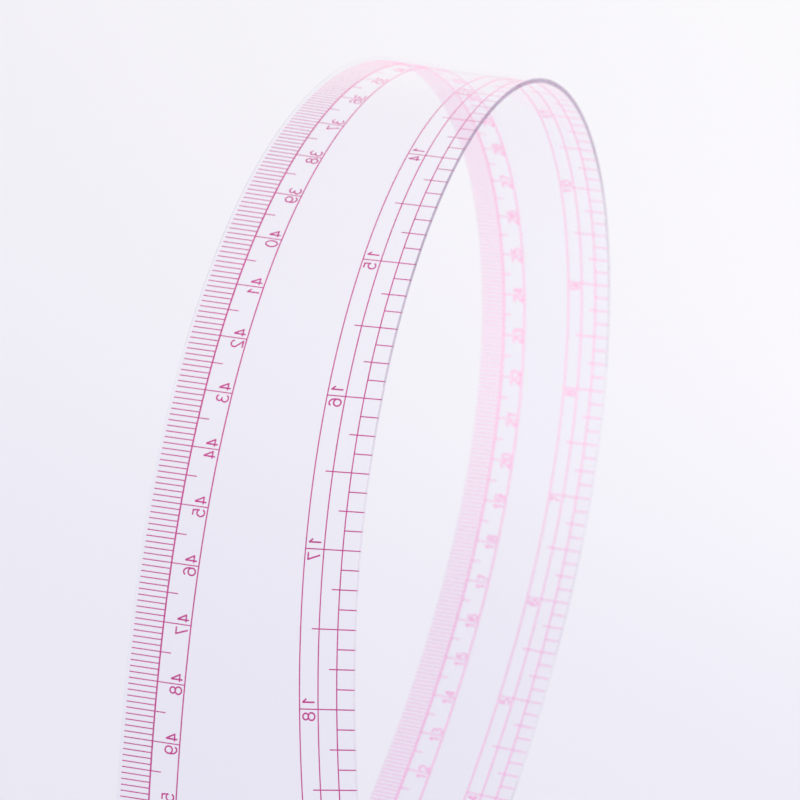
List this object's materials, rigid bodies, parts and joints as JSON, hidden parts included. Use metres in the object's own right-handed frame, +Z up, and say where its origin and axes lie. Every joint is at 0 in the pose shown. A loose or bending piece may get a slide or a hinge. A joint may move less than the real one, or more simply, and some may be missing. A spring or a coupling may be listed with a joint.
{
  "type": "flexible french curve ruler",
  "caption": "Long curved ruler of thin clear flexible plastic with centimetre and inch edge scales, bent into an upright loop for drafting and pattern making.",
  "frame": {"origin": "under the middle of the bounding box, on the plane that the lowest corner touches", "axes": "+Z up towards the crown of the loop; +X from the narrow low-number leg to the wide high-number leg; +Y across the strip from the centimetre edge to the inch edge, parallel to every bend line"},
  "size_m": [0.1544, 0.0906, 0.2419],
  "materials": {
    "clear_sheet": "thin clear flexible plastic sheet with a faint lavender tint, polished both faces, edges catch the light darker",
    "cm_ink": "magenta-pink printed ink, satin",
    "inch_ink": "magenta-pink printed ink, satin"
  },
  "bodies": {
    "strip_01": {"blade_seg_01": "clear_sheet", "cm_print_01": "cm_ink", "inch_print_01": "inch_ink"},
    "strip_02": {"blade_seg_02": "clear_sheet", "cm_print_02": "cm_ink", "inch_print_02": "inch_ink"},
    "strip_03": {"blade_seg_03": "clear_sheet", "cm_print_03": "cm_ink", "inch_print_03": "inch_ink"},
    "strip_04": {"blade_seg_04": "clear_sheet", "cm_print_04": "cm_ink", "inch_print_04": "inch_ink"},
    "strip_05": {"blade_seg_05": "clear_sheet", "cm_print_05": "cm_ink", "inch_print_05": "inch_ink"},
    "strip_06": {"blade_seg_06": "clear_sheet", "cm_print_06": "cm_ink", "inch_print_06": "inch_ink"},
    "strip_07": {"blade_seg_07": "clear_sheet", "cm_print_07": "cm_ink", "inch_print_07": "inch_ink"},
    "strip_08": {"blade_seg_08": "clear_sheet", "cm_print_08": "cm_ink", "inch_print_08": "inch_ink"},
    "strip_09": {"blade_seg_09": "clear_sheet", "cm_print_09": "cm_ink", "inch_print_09": "inch_ink"},
    "strip_10": {"blade_seg_10": "clear_sheet", "cm_print_10": "cm_ink", "inch_print_10": "inch_ink"},
    "strip_11": {"blade_seg_11": "clear_sheet", "cm_print_11": "cm_ink", "inch_print_11": "inch_ink"},
    "strip_12": {"blade_seg_12": "clear_sheet", "cm_print_12": "cm_ink", "inch_print_12": "inch_ink"},
    "strip_13": {"blade_seg_13": "clear_sheet", "cm_print_13": "cm_ink", "inch_print_13": "inch_ink"},
    "strip_14": {"blade_seg_14": "clear_sheet", "cm_print_14": "cm_ink", "inch_print_14": "inch_ink"},
    "strip_15": {"blade_seg_15": "clear_sheet", "cm_print_15": "cm_ink", "inch_print_15": "inch_ink"},
    "strip_16": {"blade_seg_16": "clear_sheet", "cm_print_16": "cm_ink", "inch_print_16": "inch_ink"},
    "strip_17": {"blade_seg_17": "clear_sheet", "cm_print_17": "cm_ink", "inch_print_17": "inch_ink"},
    "strip_18": {"blade_seg_18": "clear_sheet", "cm_print_18": "cm_ink", "inch_print_18": "inch_ink"},
    "strip_19": {"blade_seg_19": "clear_sheet", "cm_print_19": "cm_ink", "inch_print_19": "inch_ink"},
    "strip_20": {"blade_seg_20": "clear_sheet", "cm_print_20": "cm_ink", "inch_print_20": "inch_ink"}
  },
  "joints": [
    {"name": "wide_shoulder_bend", "type": "hinge", "parent": "strip_12", "child": "strip_13", "pos_m": [-0.00792, 0, 0.24142], "axis": [0, -1, 0], "range_deg": [0, 15.52]},
    {"name": "wide_shoulder_bend_02", "type": "hinge", "parent": "strip_13", "child": "strip_14", "pos_m": [0.01001, 0, 0.23763], "axis": [0, -1, 0], "range_deg": [-0.1, 15.33]},
    {"name": "wide_shoulder_bend_03", "type": "hinge", "parent": "strip_14", "child": "strip_15", "pos_m": [0.02742, 0, 0.2287], "axis": [0, -1, 0], "range_deg": [-0.1, 14.89]},
    {"name": "wide_shoulder_bend_04", "type": "hinge", "parent": "strip_15", "child": "strip_16", "pos_m": [0.04337, 0, 0.21435], "axis": [0, -1, 0], "range_deg": [-0.1, 14.27]},
    {"name": "wide_leg_bend", "type": "hinge", "parent": "strip_16", "child": "strip_17", "pos_m": [0.05694, 0, 0.19414], "axis": [0, -1, 0], "range_deg": [0, 13.23]},
    {"name": "wide_leg_bend_02", "type": "hinge", "parent": "strip_17", "child": "strip_18", "pos_m": [0.06719, 0, 0.16692], "axis": [0, -1, 0], "range_deg": [-0.1, 11.77]},
    {"name": "wide_leg_bend_03", "type": "hinge", "parent": "strip_18", "child": "strip_19", "pos_m": [0.07323, 0, 0.12872], "axis": [0, -1, 0], "range_deg": [-0.1, 8.97]},
    {"name": "wide_leg_bend_04", "type": "hinge", "parent": "strip_19", "child": "strip_20", "pos_m": [0.07336, 0, 0.0587], "axis": [0, -1, 0], "range_deg": [-3.3, 0.1]},
    {"name": "narrow_shoulder_bend", "type": "hinge", "parent": "strip_12", "child": "strip_11", "pos_m": [-0.02544, 0, 0.24032], "axis": [0, 1, 0], "range_deg": [0, 15.7]},
    {"name": "narrow_shoulder_bend_02", "type": "hinge", "parent": "strip_11", "child": "strip_10", "pos_m": [-0.04165, 0, 0.23465], "axis": [0, 1, 0], "range_deg": [-0.1, 15.87]},
    {"name": "narrow_shoulder_bend_03", "type": "hinge", "parent": "strip_10", "child": "strip_09", "pos_m": [-0.05568, 0, 0.2248], "axis": [0, 1, 0], "range_deg": [-0.1, 15.83]},
    {"name": "narrow_shoulder_bend_04", "type": "hinge", "parent": "strip_09", "child": "strip_08", "pos_m": [-0.06671, 0, 0.21129], "axis": [0, 1, 0], "range_deg": [-0.1, 15.69]},
    {"name": "narrow_shoulder_bend_05", "type": "hinge", "parent": "strip_08", "child": "strip_07", "pos_m": [-0.07398, 0, 0.19467], "axis": [0, 1, 0], "range_deg": [-0.1, 15.43]},
    {"name": "narrow_leg_bend", "type": "hinge", "parent": "strip_07", "child": "strip_06", "pos_m": [-0.07676, 0, 0.17556], "axis": [0, 1, 0], "range_deg": [0, 14.92]},
    {"name": "narrow_leg_bend_02", "type": "hinge", "parent": "strip_06", "child": "strip_05", "pos_m": [-0.07432, 0, 0.15456], "axis": [0, 1, 0], "range_deg": [-0.1, 14.41]},
    {"name": "narrow_leg_bend_03", "type": "hinge", "parent": "strip_05", "child": "strip_04", "pos_m": [-0.06576, 0, 0.1322], "axis": [0, 1, 0], "range_deg": [-0.1, 13.51]},
    {"name": "narrow_leg_bend_04", "type": "hinge", "parent": "strip_04", "child": "strip_03", "pos_m": [-0.04968, 0, 0.10867], "axis": [0, 1, 0], "range_deg": [-0.1, 12.02]},
    {"name": "narrow_leg_bend_05", "type": "hinge", "parent": "strip_03", "child": "strip_02", "pos_m": [-0.02265, 0, 0.08281], "axis": [0, 1, 0], "range_deg": [-0.1, 9.4]},
    {"name": "narrow_leg_bend_06", "type": "hinge", "parent": "strip_02", "child": "strip_01", "pos_m": [0.03202, 0, 0.04534], "axis": [0, 1, 0], "range_deg": [-4.97, 0.1]}
  ],
  "couplings": [
    {"joint": "wide_shoulder_bend_02", "follows": "wide_shoulder_bend", "ratio": 0.98126},
    {"joint": "wide_shoulder_bend_03", "follows": "wide_shoulder_bend", "ratio": 0.95305},
    {"joint": "wide_shoulder_bend_04", "follows": "wide_shoulder_bend", "ratio": 0.91252},
    {"joint": "wide_leg_bend_02", "follows": "wide_leg_bend", "ratio": 0.88229},
    {"joint": "wide_leg_bend_03", "follows": "wide_leg_bend", "ratio": 0.67021},
    {"joint": "wide_leg_bend_04", "follows": "wide_leg_bend", "ratio": -0.24156},
    {"joint": "narrow_shoulder_bend_02", "follows": "narrow_shoulder_bend", "ratio": 1.0044},
    {"joint": "narrow_shoulder_bend_03", "follows": "narrow_shoulder_bend", "ratio": 1.0024},
    {"joint": "narrow_shoulder_bend_04", "follows": "narrow_shoulder_bend", "ratio": 0.99333},
    {"joint": "narrow_shoulder_bend_05", "follows": "narrow_shoulder_bend", "ratio": 0.97672},
    {"joint": "narrow_leg_bend_02", "follows": "narrow_leg_bend", "ratio": 0.95945},
    {"joint": "narrow_leg_bend_03", "follows": "narrow_leg_bend", "ratio": 0.899},
    {"joint": "narrow_leg_bend_04", "follows": "narrow_leg_bend", "ratio": 0.79917},
    {"joint": "narrow_leg_bend_05", "follows": "narrow_leg_bend", "ratio": 0.62352},
    {"joint": "narrow_leg_bend_06", "follows": "narrow_leg_bend", "ratio": -0.32626}
  ]
}
